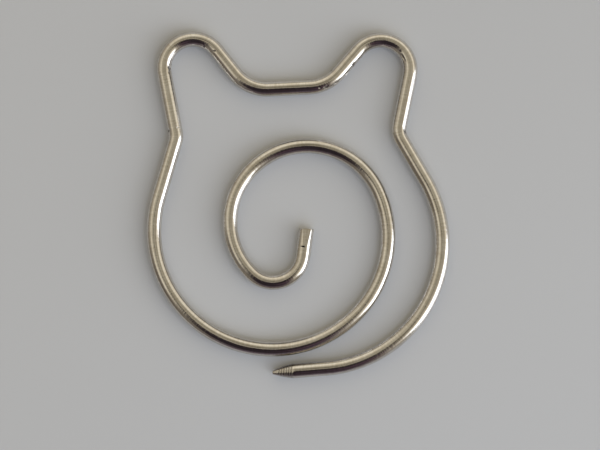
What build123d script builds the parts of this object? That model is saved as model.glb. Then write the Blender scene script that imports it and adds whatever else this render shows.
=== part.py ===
from build123d import *
import os
from dataclasses import dataclass
from math import asin, atan2, ceil, cos, degrees, dist, hypot, pi, radians, sin, sqrt

# A stitch holder bent from one round wire. It lies flat and draws a cat's face: a pointed shank runs
# under the chin into the right cheek, up round both ears with the crown between them, down the left
# cheek, and on through the chin into a spiral that ends in a small upright hook.
#
# Lengths are in millimetres, radii are those of the wire's middle line, and angles are in degrees.
# A heading is the way the wire runs, from its point inwards, turned anticlockwise from +X.
# The face is laid out from the middle of the chin loop, with +Y towards the ears.

# Wire
wire_diameter = 3.0

# Pointed end, turned down from the wire before it was bent. Its flank swells a little past a straight
# cone. The turning left fine rings on it, evenly spread from its blunt end's margin to its base's
point_length = 4.2
point_end_diameter = 0.75
point_end_crown = 0.1
point_swell = 0.1
ring_count = 6
ring_end_margin = 1.25
ring_base_margin = 0.45
ring_width = 0.16
ring_depth = 0.05

# Shank, which runs below the chin loop and leaves room for yarn to slip on between them
shank_length = 10.8
shank_heading = 4.6
yarn_gap = 1.6

# Cheeks and chin. The right cheek leans from the upright where it leaves its bend
chin_radius = 23.7
left_cheek_straight = 11.5
right_cheek_straight = 9.3
right_cheek_lean = 30.3

# Necks, where each cheek meets its ear, as heights above the middle of the chin loop
neck_radius = 4.0
left_neck_height = 18.9
right_neck_height = 20.2

# Ears and crown. The face's upright line lies to the right of the middle of the chin loop
face_line_offset = 3.0
ear_radius = 5.9
left_ear_rise = 13.5
right_ear_rise = 12.0
ear_slope_length = 6.0
crown_length = 8.1
crown_corner_radius = 8.2
left_crown_drop = 4.1
right_crown_drop = 3.5

# Spiral inside the face, as turns that follow the chin loop one after the other
chin_end_heading = 42.5
outer_turn_radius = 22.0
outer_turn_angle = 71.5
inner_turn_radius = 15.6
inner_turn_angle = 127.0
closing_turn_radius = 14.6
closing_turn_angle = 75.0
hook_radius = 6.0
hook_angle = 126.3
hook_straight = 5.6

# Inner end, cut a little out of square. The bending clamp pressed a flat into its upper side, which
# deepens towards the cut and is tipped to the right, and left a tapered nick at the back of that flat
cut_slant = 5.0
end_edge_break = 0.12
clamp_flat_length = 3.65
clamp_flat_back_depth = 0.04
clamp_flat_end_depth = 0.23
clamp_flat_tilt = 7.0
nick_place = 3.5
nick_length = 0.85
nick_width = 0.36
nick_right_reach = 0.3

# Room that cutting solids reach past what they cut
overrun = 1.0

# Spacing of the points on which the wire's gap to itself is measured, and how far apart along the
# wire two points lie, in wire diameters, before they count as different stretches of it
gap_point_spacing = 0.5
other_stretch_diameters = 3

wire_radius = wire_diameter / 2


def along(heading):
    """The direction that a heading points in."""
    return Vector(cos(radians(heading)), sin(radians(heading)))


def left_of(heading):
    """The direction square to a heading, on its left."""
    return Vector(-sin(radians(heading)), cos(radians(heading)))


@dataclass
class Bend:
    """A bend of the wire about a centre, anticlockwise (turn 1) or clockwise (turn -1)."""

    centre: Vector
    radius: float
    turn: int

    @property
    def lever(self):
        """From the middle line to the centre, counted to the wire's left."""
        return self.turn * self.radius

    def place(self, heading):
        """Where the wire is on this bend when it runs at a heading."""
        return self.centre - left_of(heading) * self.lever

    def arc(self, start, end):
        """The middle line from one heading to another, turning the bend's own way."""
        size = (end - start) % 360 if self.turn > 0 else -((start - end) % 360)
        return CenterArc(self.centre, self.radius, start - 90 * self.turn, size)


def straight_heading(one, other):
    """The heading of the straight that leaves one bend and runs into another."""
    across = other.centre - one.centre
    return degrees(atan2(across.Y, across.X) - asin((other.lever - one.lever) / across.length))


def carried_on(bend, heading, radius):
    """The bend that takes over from another at a heading, turning the same way at its own radius."""
    return Bend(bend.place(heading) + left_of(heading) * bend.turn * radius, radius, bend.turn)


def rise_of_ear(side, neck, ear_rise, crown_drop):
    """The ear's bend above a neck and the crown's corner beside it, on the left (-1) or right (1)."""
    ear_height = neck.centre.Y + ear_rise
    corner_height = ear_height - crown_drop + crown_corner_radius
    between = hypot(ear_radius + crown_corner_radius, ear_slope_length)
    outwards = sqrt(between**2 - (corner_height - ear_height) ** 2)
    corner_place = face_line_offset + side * crown_length / 2
    ear = Bend(Vector(corner_place + side * outwards, ear_height), ear_radius, 1)
    corner = Bend(Vector(corner_place, corner_height), crown_corner_radius, -1)
    return ear, corner


# The chin loop and the necks. The left neck stands on the left cheek's straight, and the right neck
# mirrors its place across the face's upright line
chin = Bend(Vector(0, 0), chin_radius, 1)
chin_to_neck = hypot(chin_radius + neck_radius, left_cheek_straight)
neck_reach = sqrt(chin_to_neck**2 - left_neck_height**2)
left_neck = Bend(Vector(-neck_reach, left_neck_height), neck_radius, -1)
right_neck = Bend(Vector(neck_reach + 2 * face_line_offset, right_neck_height), neck_radius, -1)
left_ear, left_corner = rise_of_ear(-1, left_neck, left_ear_rise, left_crown_drop)
right_ear, right_corner = rise_of_ear(1, right_neck, right_ear_rise, right_crown_drop)

# The right cheek is the one bend that touches both the straight under the right neck and the shank's
# own line, which passes the chin loop at the yarn gap
cheek_heading = 90 + right_cheek_lean
cheek_end = right_neck.place(cheek_heading) - along(cheek_heading) * right_cheek_straight
shank_distance = chin_radius + wire_diameter + yarn_gap
cheek_share = 1 - cos(radians(cheek_heading - shank_heading))
cheek_radius = (cheek_end.dot(left_of(shank_heading)) + shank_distance) / cheek_share
right_cheek = Bend(cheek_end + left_of(cheek_heading) * cheek_radius, cheek_radius, 1)

# The face's bends in the wire's order, then the spiral's turns, each carried on from the one before
face_bends = (
    right_cheek,
    right_neck,
    right_ear,
    right_corner,
    left_corner,
    left_ear,
    left_neck,
    chin,
)
spiral_turns = (
    (outer_turn_radius, outer_turn_angle),
    (inner_turn_radius, inner_turn_angle),
    (closing_turn_radius, closing_turn_angle),
    (hook_radius, hook_angle),
)

# The shank, from the tip of the point through the cone's base to the right cheek's bend
shank_end = right_cheek.place(shank_heading)
tip = shank_end - along(shank_heading) * shank_length
point_base = tip + along(shank_heading) * point_length


def middle_line():
    """The middle line's edges from the point's base to past the cut, and where and how it is cut."""
    edges = [Line(point_base, shank_end)]
    heading = shank_heading
    for one, other in zip(face_bends, face_bends[1:]):
        leaving = straight_heading(one, other)
        edges.append(one.arc(heading, leaving))
        edges.append(Line(one.place(leaving), other.place(leaving)))
        heading = leaving
    bend, end_heading = chin, chin_end_heading
    for radius, angle in spiral_turns:
        edges.append(bend.arc(heading, end_heading))
        bend, heading = carried_on(bend, end_heading, radius), end_heading
        end_heading = heading + angle
    edges.append(bend.arc(heading, end_heading))
    hook_end = bend.place(end_heading)
    inner_end = hook_end + along(end_heading) * hook_straight
    edges.append(Line(hook_end, inner_end + along(end_heading) * overrun))
    return edges, Plane(origin=inner_end, x_dir=along(end_heading), z_dir=(0, 0, 1))


def wire_along(path):
    """The round wire itself, swept along its middle line."""
    return sweep(Plane(origin=path @ 0, z_dir=path % 0) * Circle(wire_radius), path=path)


def turned_point():
    """The cone from its blunt crowned end to its base, on +X from the origin, with its fine rings."""
    end_radius = point_end_diameter / 2

    def radius_at(place):
        share = place / point_length
        return end_radius + (wire_radius - end_radius) * share + 4 * point_swell * share * (1 - share)

    ring_pitch = (point_length - ring_end_margin - ring_base_margin) / (ring_count - 1)
    flank = [(0, end_radius)]
    for number in range(ring_count):
        middle = ring_end_margin + number * ring_pitch
        for place, depth in (
            (middle - ring_width / 2, 0),
            (middle, ring_depth),
            (middle + ring_width / 2, 0),
        ):
            flank.append((place, radius_at(place) - depth))
    flank += [(point_length, wire_radius), (point_length, 0), (-point_end_crown, 0)]
    crown = TangentArc((-point_end_crown, 0), (0, end_radius), tangent=(0, 1))
    return revolve(make_face(Polyline(flank) + crown), Axis.X)


def clamp_flat():
    """What the clamp pressed away above its flat, seen from the cut end with +X along the wire."""
    end_height = wire_radius - clamp_flat_end_depth
    back_height = wire_radius - clamp_flat_back_depth
    slope_share = (back_height - end_height) / clamp_flat_length
    top = wire_radius + overrun
    side = Polyline(
        (-clamp_flat_length, back_height),
        (overrun, end_height - slope_share * overrun),
        (overrun, top),
        (-clamp_flat_length, top),
        close=True,
    )
    pressed = extrude(Plane.XZ * make_face(side), amount=top, both=True)
    return Rot(X=clamp_flat_tilt) * pressed


def clamp_nick():
    """The nick across the back of the flat, widest on the right and run out to nothing on the left."""
    middle = nick_length / 2 - nick_right_reach
    height = wire_radius - clamp_flat_back_depth
    place = Location((-nick_place, middle, height), (-90, 0, 0))
    return place * Cone(nick_width / 2, 0, nick_length)


def cut_end(wire, inner_end):
    """The inner end, cut off at its slant, with its rim broken, its flat pressed in and its nick cut."""
    reach = wire_diameter + overrun
    waste = Box(2 * overrun, reach, reach, align=(Align.MIN, Align.CENTER, Align.CENTER))
    wire -= inner_end * Rot(Z=cut_slant) * waste
    cut_face = wire.faces().filter_by(GeomType.PLANE).sort_by_distance(inner_end.origin)[0]
    wire = chamfer(cut_face.edges(), end_edge_break)
    return wire - inner_end * clamp_flat() - inner_end * clamp_nick()


def least_gap(path):
    """The least room between different stretches of the wire, measured on evenly spaced points."""
    steps = ceil(path.length / gap_point_spacing)
    spacing = path.length / steps
    reaches = [step * spacing for step in range(steps + 1)]
    points = [tuple(point) for point in path.positions(reaches, PositionMode.LENGTH)]
    apart = ceil(other_stretch_diameters * wire_diameter / spacing)
    pairs = ((one, other) for place, one in enumerate(points) for other in points[place + apart :])
    return min(dist(one, other) for one, other in pairs) - wire_diameter


# The wire, with its point and its inner end
middle_edges, inner_end = middle_line()
middle_path = Wire(middle_edges)
holder_wire = wire_along(middle_path)
section_times_length = pi * wire_radius**2 * middle_path.length
print("swept volume", holder_wire.volume, "section times length", section_times_length)
point_place = Plane(origin=tip, x_dir=along(shank_heading), z_dir=(0, 0, 1))
holder_wire += point_place * turned_point()
holder_wire = cut_end(holder_wire, inner_end)
print("solids", len(holder_wire.solids()), "volume", holder_wire.volume, "valid", holder_wire.is_valid)

# It lies on Z = 0 with the middle of its outline over the origin
box = holder_wire.bounding_box()
to_origin = Vector(-box.center().X, -box.center().Y, -box.min.Z)
holder_wire = Pos(to_origin) * holder_wire
holder_wire.label = "holder_wire"

os.makedirs("parts", exist_ok=True)
export_step(holder_wire, "parts/holder_wire.step")

shank_middle = (point_base + shank_end) / 2 + to_origin
shank_straight = shank_length - point_length
print("box", holder_wire.bounding_box())
print("wire length", point_length + middle_path.length - overrun)
print("least gap of the wire to itself", least_gap(middle_path))
print("bend radii", [bend.radius for bend in face_bends], [radius for radius, _ in spiral_turns])
print("straight shank", shank_straight, "its middle", shank_middle, "its way out", -along(shank_heading))
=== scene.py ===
# %% [markdown]
# # A stitch holder bent from one wire
# The real object is one round steel wire, 3 mm thick and a third of a metre long. It was turned to
# a point at one end, bent flat into a cat's face with a spiral inside, cut off and nickel plated.
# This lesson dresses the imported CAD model. The wire is made straight first, with every detail of
# its ends, and is then bent as the real one was, so that each detail is cut along plain axes.

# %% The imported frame
from bisect import bisect_right
from dataclasses import dataclass
from math import asin, atan2, ceil, cos, degrees, hypot, pi, radians, sin, sqrt

import bmesh
import bpy
from mathutils import Matrix, Vector


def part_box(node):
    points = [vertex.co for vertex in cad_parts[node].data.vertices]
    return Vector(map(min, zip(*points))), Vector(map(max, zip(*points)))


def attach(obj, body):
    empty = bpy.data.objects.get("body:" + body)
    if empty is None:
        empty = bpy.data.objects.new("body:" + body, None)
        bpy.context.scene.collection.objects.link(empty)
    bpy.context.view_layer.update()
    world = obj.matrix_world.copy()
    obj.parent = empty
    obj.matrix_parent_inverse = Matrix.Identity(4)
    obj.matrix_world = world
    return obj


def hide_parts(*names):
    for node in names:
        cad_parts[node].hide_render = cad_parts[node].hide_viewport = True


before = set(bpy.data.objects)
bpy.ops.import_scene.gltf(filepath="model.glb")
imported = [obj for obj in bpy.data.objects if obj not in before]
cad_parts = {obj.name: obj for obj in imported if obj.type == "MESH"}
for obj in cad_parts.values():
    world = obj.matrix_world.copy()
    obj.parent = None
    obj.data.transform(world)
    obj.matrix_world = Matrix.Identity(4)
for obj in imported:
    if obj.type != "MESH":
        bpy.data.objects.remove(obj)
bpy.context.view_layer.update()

# %% [markdown]
# ## Sizes
# They are the CAD model's own, in metres, but for the clamp's nick, which sits a little further
# from the cut here and is steeper, and for the turned rings, which the plating has half filled. A
# heading is the way the wire runs, in degrees turned anticlockwise from +X. The face is laid out
# from the middle of its chin loop, with +Y towards the ears, and is moved to its place at the end.

# %% Sizes of the wire, its point and its cut end
mm = 0.001
wire_radius = 1.5 * mm
point_length = 4.2 * mm
point_end_radius = 0.375 * mm
point_end_crown = 0.1 * mm
point_swell = 0.1 * mm
ring_count = 6
ring_end_margin = 1.25 * mm
ring_base_margin = 0.45 * mm
ring_width = 0.16 * mm
ring_depth = 0.05 * mm
ring_filling = 0.5
cut_slant = 5.0
end_edge_break = 0.12 * mm
clamp_flat_length = 3.65 * mm
clamp_flat_back_depth = 0.04 * mm
clamp_flat_end_depth = 0.23 * mm
clamp_flat_tilt = 7.0
nick_place = 3.6 * mm
nick_length = 0.9 * mm
nick_width = 0.36 * mm
nick_right_reach = 0.12 * mm
nick_steepness = 2.2
overrun = 1.0 * mm

# %% Sizes of the face and the spiral
shank_length = 10.8 * mm
shank_heading = 4.6
yarn_gap = 1.6 * mm
chin_radius = 23.7 * mm
left_cheek_straight = 11.5 * mm
right_cheek_straight = 9.3 * mm
right_cheek_lean = 30.3
neck_radius = 4.0 * mm
left_neck_height = 18.9 * mm
right_neck_height = 20.2 * mm
face_line_offset = 3.0 * mm
ear_radius = 5.9 * mm
left_ear_rise = 13.5 * mm
right_ear_rise = 12.0 * mm
ear_slope_length = 6.0 * mm
crown_length = 8.1 * mm
crown_corner_radius = 8.2 * mm
left_crown_drop = 4.1 * mm
right_crown_drop = 3.5 * mm
chin_end_heading = 42.5
spiral_turns = ((22.0 * mm, 71.5), (15.6 * mm, 127.0), (14.6 * mm, 75.0), (6.0 * mm, 126.3))
hook_straight = 5.6 * mm

# %% [markdown]
# ## The line that the wire follows
# A bent wire is a row of straights and arcs. It could be drawn as a Bezier curve, but a hand-set
# Bezier only comes near to an arc. Here each bend is a circle, and each straight is the line that
# touches two of them, which is how a wire bender sets it out, so the line agrees with the CAD.


# %% Directions and bends
def along(heading):
    """The direction that a heading points in."""
    return Vector((cos(radians(heading)), sin(radians(heading)), 0))


def left_of(heading):
    """The direction square to a heading, on its left."""
    return Vector((-sin(radians(heading)), cos(radians(heading)), 0))


@dataclass
class Bend:
    """A bend of the wire about a centre, anticlockwise (turn 1) or clockwise (turn -1)."""

    centre: Vector
    radius: float
    turn: int

    @property
    def lever(self):
        """From the middle line to the centre, counted to the wire's left."""
        return self.turn * self.radius

    def place(self, heading):
        """Where the wire is on this bend when it runs at a heading."""
        return self.centre - left_of(heading) * self.lever


@dataclass
class Stretch:
    """A straight or a bend of the middle line, from where it starts."""

    start: Vector
    heading: float
    length: float
    bend: Bend = None

    def place(self, reach, left, up):
        """Where a point of the straight wire lies once this stretch is bent."""
        if self.bend is None:
            heading, middle = self.heading, self.start + along(self.heading) * reach
        else:
            heading = self.heading + self.bend.turn * degrees(reach / self.bend.radius)
            middle = self.bend.place(heading)
        return middle + left_of(heading) * left + Vector((0, 0, up))


def straight_heading(one, other):
    """The heading of the straight that leaves one bend and runs into another."""
    across = other.centre - one.centre
    return degrees(atan2(across.y, across.x) - asin((other.lever - one.lever) / across.length))


def carried_on(bend, heading, radius):
    """The bend that takes over from another at a heading, turning its way at a new radius."""
    return Bend(bend.place(heading) + left_of(heading) * bend.turn * radius, radius, bend.turn)


def ear_and_corner(side, neck, ear_rise, crown_drop):
    """An ear's bend above its neck and the crown's corner beside it. Side: -1 left, 1 right."""
    ear_height = neck.centre.y + ear_rise
    corner_height = ear_height - crown_drop + crown_corner_radius
    between = hypot(ear_radius + crown_corner_radius, ear_slope_length)
    outwards = sqrt(between**2 - (corner_height - ear_height) ** 2)
    corner_place = face_line_offset + side * crown_length / 2
    ear = Bend(Vector((corner_place + side * outwards, ear_height, 0)), ear_radius, 1)
    return ear, Bend(Vector((corner_place, corner_height, 0)), crown_corner_radius, -1)


# %% The bends of the face, set out from the chin loop
chin = Bend(Vector((0, 0, 0)), chin_radius, 1)
chin_to_neck = hypot(chin_radius + neck_radius, left_cheek_straight)
neck_reach = sqrt(chin_to_neck**2 - left_neck_height**2)
right_neck_place = neck_reach + 2 * face_line_offset
left_neck = Bend(Vector((-neck_reach, left_neck_height, 0)), neck_radius, -1)
right_neck = Bend(Vector((right_neck_place, right_neck_height, 0)), neck_radius, -1)
left_ear, left_corner = ear_and_corner(-1, left_neck, left_ear_rise, left_crown_drop)
right_ear, right_corner = ear_and_corner(1, right_neck, right_ear_rise, right_crown_drop)

cheek_heading = 90 + right_cheek_lean
cheek_end = right_neck.place(cheek_heading) - along(cheek_heading) * right_cheek_straight
shank_distance = chin_radius + 2 * wire_radius + yarn_gap
cheek_share = 1 - cos(radians(cheek_heading - shank_heading))
cheek_radius = (cheek_end.dot(left_of(shank_heading)) + shank_distance) / cheek_share
right_cheek = Bend(cheek_end + left_of(cheek_heading) * cheek_radius, cheek_radius, 1)
right_side = [right_cheek, right_neck, right_ear, right_corner]
left_side = [left_corner, left_ear, left_neck, chin]
print("right cheek's radius in mm", round(cheek_radius / mm, 3))


# %% The whole middle line, from the point to the cut
def arc(bend, heading, end_heading):
    """The stretch of a bend from one heading to another, turning the bend's own way."""
    angle = (bend.turn * (end_heading - heading)) % 360
    return Stretch(bend.place(heading), heading, radians(angle) * bend.radius, bend)


tip = right_cheek.place(shank_heading) - along(shank_heading) * shank_length
middle_line = [Stretch(tip, shank_heading, shank_length)]
heading = shank_heading
for one, other in zip(right_side + left_side, right_side[1:] + left_side):
    leaving = straight_heading(one, other)
    middle_line.append(arc(one, heading, leaving))
    straight = (other.place(leaving) - one.place(leaving)).length
    middle_line.append(Stretch(one.place(leaving), leaving, straight))
    heading = leaving
bend, end_heading = chin, chin_end_heading
for radius, angle in spiral_turns:
    middle_line.append(arc(bend, heading, end_heading))
    bend, heading = carried_on(bend, end_heading, radius), end_heading
    end_heading = heading + angle
middle_line.append(arc(bend, heading, end_heading))
middle_line.append(Stretch(bend.place(end_heading), end_heading, hook_straight))

starts = [sum(stretch.length for stretch in middle_line[:n]) for n in range(len(middle_line))]
wire_length = starts[-1] + middle_line[-1].length
print("stretches", len(middle_line), "wire length in mm", round(wire_length / mm, 2))

# %% [markdown]
# ## The straight wire
# The real wire was drawn round and its end was turned in a lathe. A curve with a round bevel would
# give the wire but not the point. One outline, spun once about the wire's own axis, gives both:
# the blunt crown, the flank with its fine rings, and the long side with a vertex at every step.
# The flank was never polished, so an attribute darkens it a little as tarnish, and it darkens
# its rings a lot as painted shade in their grooves.


# %% The outline, from the crown's middle to past the cut
def flank_radius(place):
    """The point's radius at a place, on a flank that swells a little past a straight cone."""
    share = place / point_length
    swell = 4 * point_swell * share * (1 - share)
    return point_end_radius + (wire_radius - point_end_radius) * share + swell


crown_steps = 5
crown_radius = (point_end_radius**2 + point_end_crown**2) / (2 * point_end_crown)
crown_half_angle = asin(point_end_radius / crown_radius)
outline = []
for step in range(crown_steps):
    angle = crown_half_angle * step / crown_steps
    behind = crown_radius * (1 - cos(angle)) - point_end_crown
    outline.append((behind, crown_radius * sin(angle)))
outline += [(place * mm, flank_radius(place * mm)) for place in (0, 0.3, 0.6, 0.9)]
ring_pitch = (point_length - ring_end_margin - ring_base_margin) / (ring_count - 1)
ring_middles = [ring_end_margin + number * ring_pitch for number in range(ring_count)]
for middle in ring_middles:
    for share, depth in ((-0.5, 0), (0, ring_depth), (0.5, 0)):
        place = middle + share * ring_width
        outline.append((place, flank_radius(place) - depth * (1 - ring_filling)))
ring_spacing = 0.4 * mm
steps = ceil((wire_length + overrun - point_length) / ring_spacing)
step_length = (wire_length + overrun - point_length) / steps
outline += [(point_length + step * step_length, wire_radius) for step in range(steps + 1)]
print("outline's vertices", len(outline))

# %% One full spin about the wire's axis
wire_sides = 64
wire = bmesh.new()
profile = [wire.verts.new((place, 0, radius)) for place, radius in outline]
sides = [wire.edges.new(pair) for pair in zip(profile, profile[1:])]
bmesh.ops.spin(
    wire,
    geom=profile + sides,
    cent=(0, 0, 0),
    axis=(1, 0, 0),
    angle=2 * pi,
    steps=wire_sides,
    use_merge=True,
)
weld_distance = 0.001 * mm
bmesh.ops.remove_doubles(wire, verts=wire.verts, dist=weld_distance)
print("faces of the straight wire", len(wire.faces))

# %% Tarnish on the point, and painted shade in its rings
# Painted shade: the ring grooves are darkened far more than the evenly tarnished flank.
ring_painted_shade = 0.9
flank_soil = 0.3
soil = wire.verts.layers.float.new("soil")
for vert in wire.verts:
    if vert.co.x < point_length - ring_width:
        in_ring = min(abs(vert.co.x - middle) for middle in ring_middles) < weld_distance
        vert[soil] = ring_painted_shade if in_ring else flank_soil
print("soiled vertices", sum(vert[soil] > 0 for vert in wire.verts))

# %% [markdown]
# ## The cut end
# The bender sheared the wire a little out of square and broke the rim. The clamp that held the
# last bend pressed a flat into the upper side and left a nick across its back. Booleans would do
# it, but planes that bisect the mesh leave cleaner edges, and the nick is a small field of finer
# faces whose vertices are pressed down. The nick is painted darker the deeper it is, as painted
# shade.


# %% A finer field of faces, for small marks
def refine(place, side, length, width, cuts):
    """Divides the faces around a place along the wire and an angle to the left of its top."""
    half_width = degrees(width / wire_radius) / 2
    field = []
    for face in wire.faces:
        middle = face.calc_center_median()
        if abs(middle.x - place) > length / 2:
            continue
        turned = degrees(atan2(middle.y, middle.z)) - side
        if abs((turned + 180) % 360 - 180) < half_width:
            field.append(face)
    edges = {edge for face in field for edge in face.edges}
    made = bmesh.ops.subdivide_edges(wire, edges=list(edges), cuts=cuts, use_grid_fill=True)
    fresh = {part for part in made["geom_inner"] if isinstance(part, bmesh.types.BMVert)}
    fresh |= {vert for face in field if face.is_valid for vert in face.verts}
    for vert in fresh:
        spread = hypot(vert.co.y, vert.co.z)
        vert.co.y *= wire_radius / spread
        vert.co.z *= wire_radius / spread
    return fresh


# %% The nick at the back of the clamp's flat
nick_field = {"side": 14, "length": 1.2 * mm, "width": 1.9 * mm, "cuts": 13}
nick_shade_depth = 0.06 * mm
nick_middle = wire_length - nick_place
nick_floor = wire_radius - clamp_flat_back_depth
left_end = nick_length - nick_right_reach
for vert in refine(nick_middle, **nick_field):
    share = (left_end - vert.co.y) / nick_length
    if vert.co.z < 0 or not 0 < share <= 1:
        continue
    wide = share**0.5 * nick_width / 2
    deep = (wide - abs(vert.co.x - nick_middle)) * nick_steepness
    if deep > 0:
        vert.co.z = min(vert.co.z, nick_floor - deep)
        # Painted shade: the nick's colour darkens with its depth, full at the shade depth.
        vert[soil] = min(deep / nick_shade_depth, 1)


# %% The slanted cut with its broken rim, then the clamp's flat
plane_tolerance = 0.0001 * mm
cut_reach = 1.0 * mm
flat_reach = 1.4 * clamp_flat_length


def slice_off(low_end, point, normal):
    """Cuts away what lies past a plane, within the wire's end, and closes the cut with a face."""
    inside = [vert for vert in wire.verts if vert.co.x > low_end]
    faces = {face for vert in inside for face in vert.link_faces}
    edges = {edge for face in faces for edge in face.edges}
    verts = {vert for face in faces for vert in face.verts}
    bmesh.ops.bisect_plane(
        wire,
        geom=[*verts, *edges, *faces],
        dist=plane_tolerance,
        plane_co=point,
        plane_no=normal,
        clear_outer=True,
    )
    rim = [edge for edge in wire.edges if edge.is_boundary]
    return bmesh.ops.contextual_create(wire, geom=rim)["faces"]


cut_normal = along(cut_slant)
bmesh.ops.holes_fill(wire, edges=[edge for edge in wire.edges if edge.is_boundary])
cut_face, = slice_off(wire_length - cut_reach, (wire_length, 0, 0), cut_normal)
bmesh.ops.bevel(
    wire,
    geom=list(cut_face.edges),
    offset=end_edge_break,
    offset_type="OFFSET",
    segments=3,
    profile=0.5,
    affect="EDGES",
    material=-1,
)

flat_slope = (clamp_flat_end_depth - clamp_flat_back_depth) / clamp_flat_length
tilt = Matrix.Rotation(radians(clamp_flat_tilt), 3, "X")
flat_normal = (tilt @ Vector((flat_slope, 0, 1))).normalized()
flat_back = tilt @ Vector((0, 0, nick_floor)) + Vector((wire_length - clamp_flat_length, 0, 0))
flat_face, = slice_off(wire_length - flat_reach, flat_back, flat_normal)
print("the flat's corners", len(flat_face.verts))

# %% [markdown]
# ## Marks of the bending tools
# A wire that is bent between steel pins carries their nicks, mostly inside and beside its tight
# bends. Each one here is a small groove with a V section that fades out around the wire, and its
# colour is darkened towards its bottom, as much as it is pressed in. Its place is counted along
# the wire from the point, and its side in degrees to the left of the wire's top.


# %% Nicks pressed into the straight wire
@dataclass
class Nick:
    """A groove, with its size in millimetres and its lean along the wire per width around it."""

    place: float
    side: float
    length: float
    width: float
    depth: float
    lean: float = 0


nicks = [
    Nick(72.2, -62, 1.6, 1.3, 0.18, 0.2),
    Nick(87.9, 33, 2.6, 0.6, 0.12, 0.3),
    Nick(89.3, 22, 0.5, 0.4, 0.06, -0.3),
    Nick(100.6, 64, 1.0, 0.6, 0.12, -0.4),
    Nick(102.3, 60, 0.8, 1.2, 0.18, 0.2),
    Nick(104.4, 64, 1.8, 0.5, 0.14, 0.5),
    Nick(106.2, -68, 0.4, 0.9, 0.14, -0.4),
    Nick(107.2, 50, 1.4, 0.5, 0.10, -0.6),
    Nick(109.0, 33, 1.2, 0.5, 0.10, 0.8),
    Nick(110.1, 26, 0.5, 0.4, 0.07, -0.4),
    Nick(121.7, -72, 0.4, 0.7, 0.12, 0.3),
    Nick(126.2, -72, 0.4, 0.7, 0.12, -0.3),
    Nick(133.8, 16, 0.4, 0.7, 0.07, 0.5),
    Nick(136.3, 38, 0.6, 0.9, 0.12, -0.2),
    Nick(148.3, 60, 0.9, 1.3, 0.20, 0.3),
    Nick(149.4, 50, 0.5, 0.6, 0.10, -0.5),
    Nick(160.7, 26, 0.3, 0.5, 0.08, 0.3),
    Nick(161.0, -62, 0.6, 1.1, 0.18, -0.2),
    Nick(279.0, -66, 0.5, 0.8, 0.12, 0.4),
]
field_margin = 1.2
field_cuts = 4
for nick in nicks:
    place, length, width = nick.place * mm, nick.length * mm, nick.width * mm
    field_length, field_width = length + ring_spacing, width * field_margin
    for vert in refine(place, nick.side, field_length, field_width, field_cuts):
        turned = degrees(atan2(vert.co.y, vert.co.z)) - nick.side
        around = radians((turned + 180) % 360 - 180) * wire_radius
        beside = abs(vert.co.x - place - nick.lean * around)
        share = (1 - beside * 2 / length, 1 - (around * 2 / width) ** 2)
        if min(share) > 0:
            pressed = 1 - nick.depth * mm * share[0] * share[1] / wire_radius
            vert.co.y *= pressed
            vert.co.z *= pressed
            # The colour darkens towards the groove's bottom, with the same share as its depth.
            vert[soil] = share[0] * share[1]
print("nicks", len(nicks), "faces now", len(wire.faces))

# %% [markdown]
# ## Bending the wire
# Two more attributes are kept before the wire is bent. One is each vertex's place on the straight
# wire, in millimetres, so that the drawn streaks can follow the bends. The other tells the faces
# that the shear and the clamp left. A Curve modifier could bend the mesh, but it stretches the
# arcs a little, and each vertex can simply be set where its own stretch carries it.

# %% Attributes, smooth faces and crisp edges
bmesh.ops.recalc_face_normals(wire, faces=wire.faces)
straight_place = wire.verts.layers.float_vector.new("straight_place")
tooled = wire.faces.layers.float.new("tooled")
crisp_angle = radians(24)
cut_match, flat_match = 0.999, 0.9999
cut_tooling, flat_tooling = 1, 0.5
for vert in wire.verts:
    vert[straight_place] = vert.co / mm
for face in wire.faces:
    face.smooth = True
    near_cut = face.calc_center_median().x > wire_length - flat_reach
    sheared = near_cut and face.normal.dot(cut_normal) > cut_match
    pressed = near_cut and face.normal.dot(flat_normal) > flat_match
    face[tooled] = cut_tooling if sheared else flat_tooling if pressed else 0
    for edge in face.edges if sheared or pressed else ():
        edge.smooth = False
for edge in wire.edges:
    if edge.calc_face_angle(0) > crisp_angle:
        edge.smooth = False
print("crisp edges", sum(not edge.smooth for edge in wire.edges))


# %% Every vertex goes where its stretch of the line carries it
def bent(point):
    """The place on the bent wire of a point of the straight one."""
    number = max(bisect_right(starts, point.x) - 1, 0)
    return middle_line[number].place(point.x - starts[number], point.y, point.z)


for vert in wire.verts:
    vert.co = bent(vert.co)

# %% Into the frame, over the CAD wire that it stands for
low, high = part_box("holder_wire")
reach = [[call(vert.co[axis] for vert in wire.verts) for axis in (0, 1)] for call in (min, max)]
middle = Vector(((reach[0][0] + reach[1][0]) / 2, (reach[0][1] + reach[1][1]) / 2, 0))
to_frame = (low + high) / 2 - middle
to_frame.z = wire_radius
bmesh.ops.translate(wire, verts=wire.verts, vec=to_frame)
mesh = bpy.data.meshes.new("bent_wire")
wire.to_mesh(mesh)
wire.free()
bent_wire = bpy.data.objects.new("bent_wire", mesh)
bpy.context.collection.objects.link(bent_wire)
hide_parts("holder_wire")
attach(bent_wire, "root")
print("moved by, in mm", [round(length / mm, 4) for length in to_frame])

# %% [markdown]
# ## Shader sums
# A finish is easier to read as sums than as rows of nodes. One small class wraps a node's output
# and turns Python's operators into Math nodes, and one method makes every other node.


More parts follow.
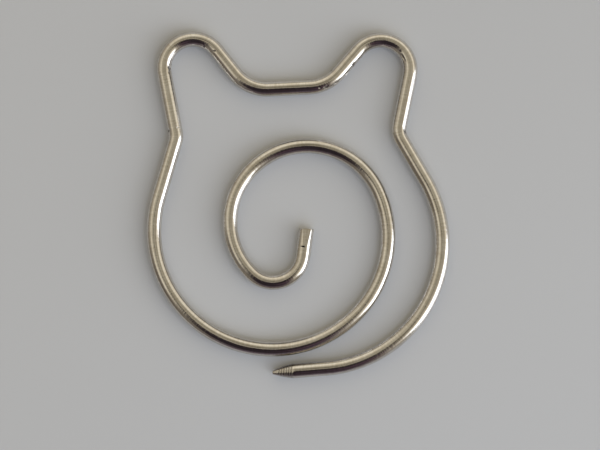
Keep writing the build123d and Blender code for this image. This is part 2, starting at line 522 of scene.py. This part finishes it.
# %% A node's output that can be added up, and a maker of nodes
class Value:
    """A node's output, on which +, -, *, / and ** add Math nodes."""

    def __init__(self, maker, socket):
        self.maker = maker
        self.socket = socket

    def out(self, name):
        """Another output of the same node."""
        return Value(self.maker, self.socket.node.outputs[name])

    def sum_of(self, operation, one, other):
        return self.maker.node("ShaderNodeMath", {"operation": operation}, {0: one, 1: other})

    def __add__(self, other):
        return self.sum_of("ADD", self, other)

    def __sub__(self, other):
        return self.sum_of("SUBTRACT", self, other)

    def __rsub__(self, other):
        return self.sum_of("SUBTRACT", other, self)

    def __mul__(self, other):
        return self.sum_of("MULTIPLY", self, other)

    def __truediv__(self, other):
        return self.sum_of("DIVIDE", self, other)

    def __pow__(self, other):
        return self.sum_of("POWER", self, other)

    __radd__ = __add__
    __rmul__ = __mul__


class NodeMaker:
    """Makes the nodes of one tree, which it empties first."""

    def __init__(self, tree):
        self.tree = tree
        tree.nodes.clear()

    def node(self, kind, settings=None, inputs=None, output=0):
        """Adds a node, gives it its settings, then links or sets its inputs."""
        node = self.tree.nodes.new(kind)
        for name, setting in (settings or {}).items():
            if name == "stops":
                elements = node.color_ramp.elements
                while len(elements) < len(setting):
                    elements.new(1)
                for element, (position, colour) in zip(elements, setting):
                    element.position, element.color = position, (*colour, 1)
            else:
                setattr(node, name, setting)
        for name, value in (inputs or {}).items():
            if isinstance(value, Value):
                self.tree.links.new(value.socket, node.inputs[name])
            else:
                node.inputs[name].default_value = value
        return Value(self, node.outputs[output]) if node.outputs else None

    def ease(self, value, start, end):
        """A soft step from 0 at start to 1 at end."""
        settings = {"interpolation_type": "SMOOTHSTEP"}
        limits = {"Value": value, "From Min": start, "From Max": end}
        return self.node("ShaderNodeMapRange", settings, limits)

    def blend(self, share, one, other):
        """One colour or another by a share."""
        colours = {0: share, 6: one, 7: other}
        return self.node("ShaderNodeMix", {"data_type": "RGBA"}, colours, output=2)


# %% [markdown]
# ## Nickel plating
# Bright nickel is a warm grey mirror. It copies the wire below it, so the fine streaks of the
# drawing die run along it, and short ripples lie across it where the bending stretched it. All of
# them are noise on the straight wire's places, stretched along or across, which turn into a
# slightly uneven roughness, a shallow bump, and a colour that differs a little where the plating
# is thin. Marked places are duller and nearly black: tarnish on the point's flank, painted shade
# in its rings and the clamp's nick, and darker bottoms in the tool nicks. The scales are counted
# per millimetre along the wire and around it.


# %% The plated wire's finish
def stretched_noise(maker, place, scales, detail=2.0):
    """Noise on the straight wire's places, with its own grain along and around the wire."""
    scaled = maker.node("ShaderNodeVectorMath", {"operation": "MULTIPLY"}, {0: place, 1: scales})
    return maker.node("ShaderNodeTexNoise", None, {"Vector": scaled, "Scale": 1, "Detail": detail})


plating = bpy.data.materials.new("bright_nickel_plating")
plating.use_nodes = True
maker = NodeMaker(plating.node_tree)
place = maker.node("ShaderNodeAttribute", {"attribute_name": "straight_place"}, output="Vector")
tool_mark = maker.node("ShaderNodeAttribute", {"attribute_name": "tooled"}, output="Fac")
streaks = stretched_noise(maker, place, (0.25, 5, 5))
drawn_lines = stretched_noise(maker, place, (0.06, 5, 5), 3.0)
ripples = stretched_noise(maker, place, (3.2, 0.6, 0.6))
clouds = stretched_noise(maker, place, (0.35, 0.5, 0.5))
hairlines = stretched_noise(maker, place, (0.5, 11, 11))
shear_lines = stretched_noise(maker, place, (1, 1.2, 9))
soil_and_shade_mask = maker.node("ShaderNodeAttribute", {"attribute_name": "soil"}, output="Fac")

thin_plating = (0.55, 0.51, 0.45, 1)
full_plating = (0.70, 0.675, 0.635, 1)
# Nearly black: tarnish on the flank, and painted shade in the ring grooves and the clamp's nick.
dirt_and_shade_colour = (0.06, 0.05, 0.045, 1)
relief = 0.012 * mm

roughness = 0.06 + 0.07 * streaks + 0.05 * clouds + 0.22 * tool_mark + 0.3 * soil_and_shade_mask
height = streaks * 0.5 + hairlines * 0.2 + ripples * 1.0 + tool_mark * shear_lines * 1.5
bump = {"Strength": 1, "Distance": relief, "Height": height}
normal = maker.node("ShaderNodeBump", None, bump)
tone = maker.ease(0.2 * clouds + 0.5 * drawn_lines + 0.3 * ripples, 0.38, 0.62)
colour = maker.blend(tone, thin_plating, full_plating)
# Blends in the flank's tarnish, painted shade in the rings and the clamp's nick, and nick bottoms.
colour = maker.blend(0.9 * soil_and_shade_mask, colour, dirt_and_shade_colour)
shader = maker.node(
    "ShaderNodeBsdfPrincipled",
    None,
    {"Base Color": colour, "Metallic": 1, "Roughness": roughness, "Normal": normal},
)
maker.node("ShaderNodeOutputMaterial", None, {"Surface": shader})
bent_wire.data.materials.append(plating)

# %% [markdown]
# ## Floor, room and light
# The wire mirrors everything around it, so the room matters as much as the plating. The floor is a
# plain pale sheet with a satin finish. The room is a plain world: a warm ceiling that is dimmer
# overhead and brightens outwards, a dim far side and corner on the left, a window at the lower
# right and a dark side below the picture. Real walls and panels could stand there, but a few sums
# on the world's directions are quicker to adjust. Each direction is written as two offsets on a
# flat map of the room: 0 and 0 are straight up, and 1 away from there is the horizon. A wide lamp,
# which the metal doesn't mirror, brings the floor up to a plain level.

# %% The floor
floor_half_width = 0.7
floor_grey = (0.50, 0.50, 0.50, 1)
floor_mesh = bmesh.new()
bmesh.ops.create_grid(floor_mesh, x_segments=4, y_segments=4, size=floor_half_width)
mesh = bpy.data.meshes.new("floor")
floor_mesh.to_mesh(mesh)
floor_mesh.free()
floor = bpy.data.objects.new("floor", mesh)
bpy.context.collection.objects.link(floor)

pale = bpy.data.materials.new("pale_floor")
pale.use_nodes = True
maker = NodeMaker(pale.node_tree)
satin = {"Base Color": floor_grey, "Roughness": 0.30, "IOR": 1.7}
shader = maker.node("ShaderNodeBsdfPrincipled", None, satin)
maker.node("ShaderNodeOutputMaterial", None, {"Surface": shader})
floor.data.materials.append(pale)

# %% The room's directions, as the metal sees them
world = bpy.data.worlds.new("room")
world.use_nodes = True
bpy.context.scene.world = world
maker = NodeMaker(world.node_tree)
direction = maker.node("ShaderNodeTexCoord", output="Generated")
parts = maker.node("ShaderNodeSeparateXYZ", None, {0: direction})
opened = 1 + parts.out("Z")
to_right = parts.out("X") / opened
to_top = parts.out("Y") / opened


def distance(one, other):
    """How far two plain offsets reach together."""
    return (one * one + other * other) ** 0.5


def facing(heading, right, top):
    """How squarely offsets point along a heading: 1 along it, 0 a quarter turn away."""
    way = along(heading)
    return (right * way.x + top * way.y) / distance(right, top)


def patch(right, top, core, reach, narrowed=1):
    """A round patch on the room's map, 1 within its core and 0 past its reach."""
    return 1 - maker.ease(distance((to_right - right) * narrowed, to_top - top), core, reach)


outwards = distance(to_right, to_top)

# %% The ceiling, from straight overhead to past the horizon
ceiling_reach = 1.2
ceiling = maker.node(
    "ShaderNodeValToRGB",
    {
        "stops": [
            (0.00, (0.465, 0.426, 0.331)),
            (0.08, (0.480, 0.438, 0.340)),
            (0.18, (0.495, 0.452, 0.354)),
            (0.24, (0.690, 0.635, 0.507)),
            (0.30, (0.950, 0.874, 0.713)),
            (0.42, (1.080, 0.995, 0.825)),
            (0.52, (0.800, 0.745, 0.625)),
            (0.62, (0.550, 0.515, 0.440)),
            (0.70, (0.420, 0.392, 0.340)),
            (0.85, (0.270, 0.250, 0.222)),
            (1.00, (0.220, 0.205, 0.185)),
        ]
    },
    {"Fac": distance((to_right - 0.06) * 0.92, to_top - 0.10) / ceiling_reach},
)

# %% Far side, corner, window and dark side over the ceiling
brown = (0.20, 0.165, 0.125, 1)
soot = (0.08, 0.07, 0.06, 1)
khaki = (0.22, 0.185, 0.13, 1)
umber = (0.15, 0.13, 0.115, 1)
daylight = (3.56, 3.72, 4.0, 1)
near_black = (0.030, 0.022, 0.028, 1)
dusky = (0.165, 0.13, 0.155, 1)
plum = (0.13, 0.075, 0.11, 1)

far_side = maker.ease(facing(185, to_right, to_top), 0.30, 0.80)
window = maker.ease(facing(-7, to_right, to_top + 0.18), 0.905, 0.97)
shade = maker.blend(maker.ease(outwards, 0.45, 0.95), near_black, dusky)
shade = maker.blend(0.6 * patch(0.15, -0.34, 0.02, 0.20), shade, plum)
further = maker.ease(outwards, 0.32, 0.70)
shade_edge = facing(-95.5, to_right - 0.07 * further, to_top - 0.010) - 0.13 * further

seen = ceiling
for share, region, tint in (
    (0.30, patch(0.08, 0.20, 0.04, 0.24), brown),
    (0.35, patch(0.32, -0.04, 0.05, 0.22), brown),
    (0.70, patch(0, 0.13, 0.03, 0.10, narrowed=1.5), soot),
    (0.55, far_side * maker.ease(outwards, 0.27, 0.52), khaki),
    (0.90, patch(-0.56, -0.30, 0.08, 0.38), umber),
    (1.00, window * maker.ease(outwards, 0.38, 0.62), daylight),
    (1.00, maker.ease(shade_edge, 0.55, 0.86), shade),
):
    seen = maker.blend(share * region, seen, tint)
room = maker.node("ShaderNodeBackground", None, {"Color": seen, "Strength": 1})
plain = maker.node("ShaderNodeBackground", None, {"Color": (0.8, 0.8, 0.8, 1), "Strength": 1})
camera_ray = maker.node("ShaderNodeLightPath", output="Is Camera Ray")
surroundings = maker.node("ShaderNodeMixShader", None, {0: camera_ray, 1: room, 2: plain})
maker.node("ShaderNodeOutputWorld", None, {"Surface": surroundings})

# %% The lamp that the metal doesn't mirror
lamp_size = 0.8
lamp_radiance = 1.45
lamp_place = (0.22, -0.34, 0.56)
cool_white = (0.72, 0.82, 1.0)
light = bpy.data.lights.new("overhead", "AREA")
light.size = lamp_size
light.energy = lamp_radiance * pi * lamp_size**2
light.color = cool_white
lamp = bpy.data.objects.new("overhead", light)
lamp.location = lamp_place
lamp.rotation_euler = (-lamp.location).to_track_quat("-Z", "Y").to_euler()
lamp.visible_camera = False
lamp.visible_glossy = False
bpy.context.collection.objects.link(lamp)

# %% [markdown]
# ## Camera
# The photograph looks straight down. It is 600 by 450 pixels, and the wire's 3 mm are 15 of them,
# so its view is 120 by 90 mm at the height of the wire's middle. A long lens from above keeps that
# view.

# %% The photograph's view
view_width = 120 * mm
camera_height = 360 * mm
camera = bpy.data.objects.new("camera", bpy.data.cameras.new("camera"))
camera.data.sensor_width = 36
camera.data.lens = camera.data.sensor_width * camera_height / view_width
camera.data.clip_start = 0.01
camera.location = (0.423 * mm, -4.010 * mm, wire_radius + camera_height)
bpy.context.collection.objects.link(camera)
scene = bpy.context.scene
scene.camera = camera
scene.view_settings.view_transform = "Standard"
